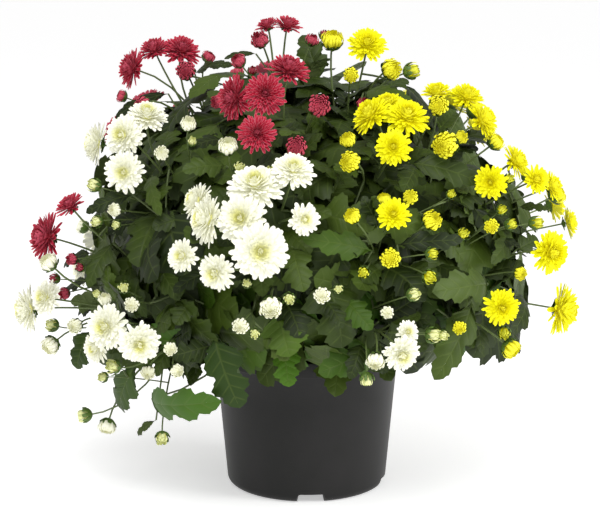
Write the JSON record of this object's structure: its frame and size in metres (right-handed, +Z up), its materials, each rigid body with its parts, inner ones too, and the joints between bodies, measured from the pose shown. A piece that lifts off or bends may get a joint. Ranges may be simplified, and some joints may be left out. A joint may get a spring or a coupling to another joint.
{
  "type": "potted flowering plant",
  "caption": "Pot chrysanthemum: a rounded bush of leafy stems with red, white and yellow double flowers in a tapered black nursery pot, to stand on a floor or table.",
  "frame": {"origin": "middle of the pot's foot, on the plane that it stands on", "axes": "+Z up along the pot's axis; -Y is the side that the picture shows; +X is on its right"},
  "size_m": [0.4977, 0.4743, 0.4213],
  "materials": {
    "pot": "satin",
    "soil": "rough",
    "leaf": "satin",
    "petal_red": "matte",
    "petal_white": "matte",
    "petal_yellow": "matte"
  },
  "bodies": {
    "root": {"pot": "pot", "red_back": "leaf", "red_back_left": "leaf", "red_back_low": "leaf", "red_back_top": "leaf", "red_centre": "leaf", "red_centre_bloom_1": "petal_red", "red_centre_bloom_2": "petal_red", "red_centre_bloom_3": "petal_red", "red_centre_bloom_4": "petal_red", "red_left": "leaf", "red_left_bloom_1": "petal_red", "red_top": "leaf", "red_top_left": "leaf", "red_top_left_bloom_1": "petal_red", "red_top_left_bloom_2": "petal_red", "red_top_left_bloom_3": "petal_red", "soil": "soil", "white_back_left": "leaf", "white_centre": "leaf", "white_centre_bloom_1": "petal_white", "white_centre_bloom_2": "petal_white", "white_centre_bloom_3": "petal_white", "white_centre_bloom_4": "petal_white", "white_far_left": "leaf", "white_far_left_bloom_1": "petal_white", "white_far_left_bloom_2": "petal_white", "white_left": "leaf", "white_left_bloom_1": "petal_white", "white_left_bloom_2": "petal_white", "white_low_centre": "leaf", "white_low_centre_bloom_1": "petal_white", "white_right": "leaf", "white_right_bloom_1": "petal_white", "white_top_left": "leaf", "white_top_left_bloom_1": "petal_white", "white_top_left_bloom_2": "petal_white", "white_top_left_bloom_3": "petal_white", "white_top_left_bloom_4": "petal_white", "white_trailing": "leaf", "yellow_back_low": "leaf", "yellow_back_right": "leaf", "yellow_back_top": "leaf", "yellow_centre": "leaf", "yellow_centre_bloom_1": "petal_yellow", "yellow_centre_bloom_2": "petal_yellow", "yellow_centre_bloom_3": "petal_yellow", "yellow_low_centre": "leaf", "yellow_low_right": "leaf", "yellow_low_right_bloom_1": "petal_yellow", "yellow_low_right_bloom_2": "petal_yellow", "yellow_low_right_bloom_3": "petal_yellow", "yellow_right": "leaf", "yellow_right_bloom_1": "petal_yellow", "yellow_top": "leaf", "yellow_top_bloom_1": "petal_yellow", "yellow_top_right": "leaf", "yellow_top_right_bloom_1": "petal_yellow", "yellow_top_right_bloom_2": "petal_yellow"}
  },
  "joints": []
}
